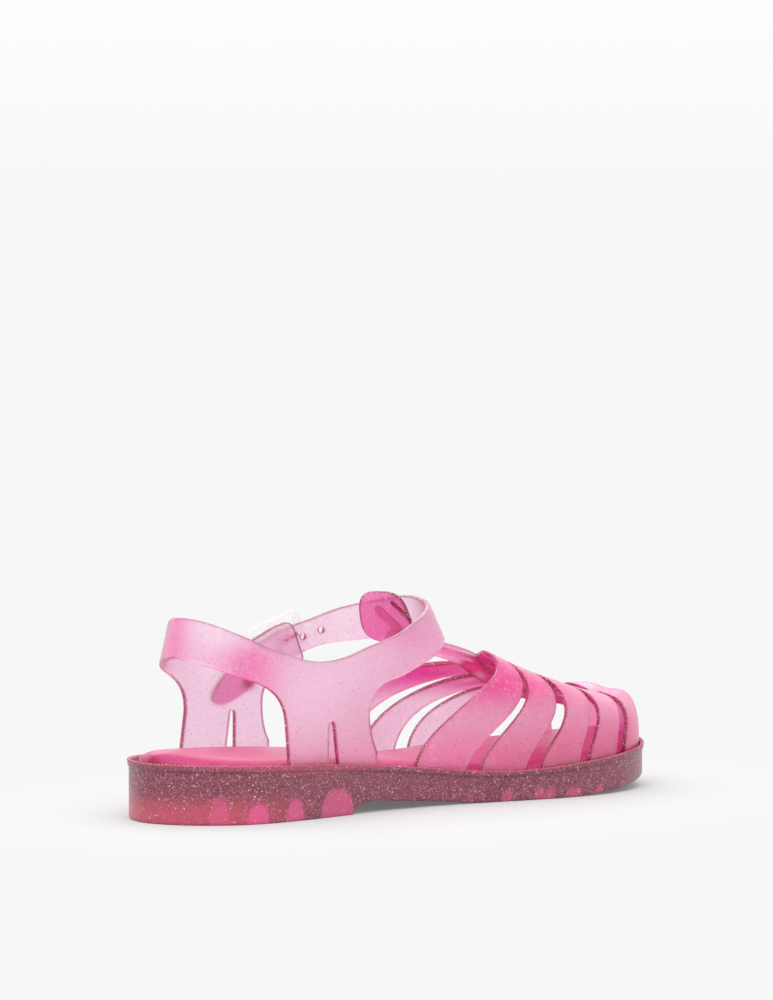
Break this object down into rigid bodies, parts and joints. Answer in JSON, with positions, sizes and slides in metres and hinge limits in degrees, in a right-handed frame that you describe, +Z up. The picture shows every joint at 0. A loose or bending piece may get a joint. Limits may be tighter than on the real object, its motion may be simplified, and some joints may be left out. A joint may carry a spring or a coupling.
{
  "type": "jelly sandal",
  "caption": "Moulded openwork sandal with a T-bar, a buckled ankle strap and a flat chunky sole, left foot.",
  "frame": {"origin": "on the ground, under the middle of the shoe's box", "axes": "+X towards the toe, +Y towards the outer side of the foot, +Z up"},
  "size_m": [0.25, 0.0952, 0.0813],
  "materials": {
    "sole": "translucent, fine glitter",
    "insole": "satin, slightly translucent",
    "upper": "translucent gloss",
    "buckle": "clear gloss",
    "stud": "translucent gloss"
  },
  "bodies": {
    "root": {"outsole": "sole", "insole": "insole", "upper": "upper", "buckle_frame": "buckle", "buckle_prong": "stud", "keeper_stud": "stud"}
  },
  "joints": []
}
